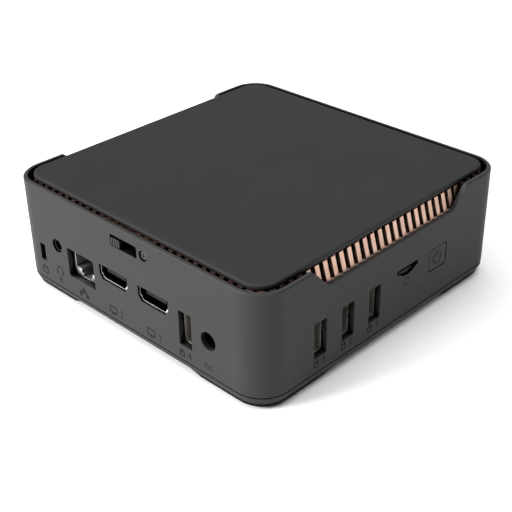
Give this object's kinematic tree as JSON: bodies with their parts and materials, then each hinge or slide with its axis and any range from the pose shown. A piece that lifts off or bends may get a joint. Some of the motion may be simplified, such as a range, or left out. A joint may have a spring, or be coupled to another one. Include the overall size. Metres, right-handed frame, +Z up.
{
  "type": "mini desktop computer",
  "caption": "Small square desktop computer with a lift-off lid over a drive bay, a slatted copper-coloured vent round the top, rows of sockets, a sliding latch and a power button.",
  "frame": {"origin": "centre of the case in plan, on the plane that the rubber pads stand on", "axes": "+Z up; the port panel faces -Y; the side with three sockets, the card slot and the power button faces +X"},
  "size_m": [0.127, 0.127, 0.0452],
  "materials": {
    "case_grey": "fine matt texture",
    "lid_grey": "fine matt texture",
    "copper_trim": "satin copper-coloured",
    "rubber": "matt",
    "screw_steel": "plated",
    "sleeve_metal": "plated",
    "socket_black": "moulded",
    "insert_grey": "moulded",
    "network_grey": "moulded",
    "contact_gold": "plated",
    "circuit_board": "solder resist",
    "chip_black": "moulded",
    "heatsink_metal": "satin",
    "fan_black": "moulded",
    "tray_steel": "zinc plated",
    "antenna_film": "laminated film",
    "lead_cover": "satin",
    "connector_cream": "moulded",
    "lock_grey": "satin"
  },
  "bodies": {
    "case": {"housing": "case_grey", "ring_shelf": "case_grey", "bottom_cover": "case_grey", "rubber_feet": "rubber", "bottom_screws": "screw_steel", "vent_ring": "copper_trim", "dust_screen": "socket_black", "latch_guide": "socket_black", "lock_screw": "lock_grey", "switch_body": "socket_black", "motherboard": "circuit_board", "board_screws": "screw_steel", "lan_shield": "sleeve_metal", "lan_insert": "network_grey", "lan_contacts": "contact_gold", "display_shells": "sleeve_metal", "display_tongues": "socket_black", "bus_shells": "sleeve_metal", "bus_tongues": "insert_grey", "bus_contacts": "contact_gold", "dc_jack": "socket_black", "dc_pin": "sleeve_metal", "phones_jack": "socket_black", "card_socket": "sleeve_metal", "security_plate": "tray_steel", "processor": "chip_black", "heatsink": "heatsink_metal", "fan_frame": "fan_black", "fan_screws": "screw_steel", "fan_header": "connector_cream", "fan_lead": "lead_cover", "heatsink_screws": "screw_steel", "memory_chips": "chip_black", "storage_chip": "chip_black", "coils": "chip_black", "capacitors": "heatsink_metal", "lan_transformer": "chip_black", "wireless_socket": "socket_black", "wireless_card": "circuit_board", "card_standoff": "contact_gold", "card_screw": "screw_steel", "antennas": "antenna_film", "antenna_leads": "lead_cover", "battery_holder": "socket_black", "clock_battery": "screw_steel", "drive_tray": "tray_steel", "tray_walls": "tray_steel", "tray_standoffs": "contact_gold", "tray_screws": "screw_steel", "riser_socket": "connector_cream", "riser_board": "circuit_board", "drive_connector": "socket_black"},
    "lid": {"lid": "lid_grey"},
    "latch": {"latch_slider": "case_grey"},
    "button": {"power_button": "case_grey", "switch_plunger": "socket_black"},
    "fan": {"fan_rotor": "fan_black"}
  },
  "joints": [
    {"name": "lid_lift", "type": "slide", "parent": "case", "child": "lid", "axis": [0, 0, 1], "range_m": [0, 0.03]},
    {"name": "latch_slide", "type": "slide", "parent": "case", "child": "latch", "axis": [1, 0, 0], "range_m": [0, 0.0089]},
    {"name": "power_press", "type": "slide", "parent": "case", "child": "button", "axis": [-1, 0, 0], "range_m": [0, 0.0007], "stiffness_N_per_m": 1200, "springref_m": -0.0003},
    {"name": "fan_spin", "type": "hinge", "parent": "case", "child": "fan", "pos_m": [0, 0.008, 0.014], "axis": [0, 0, 1], "continuous": true}
  ]
}
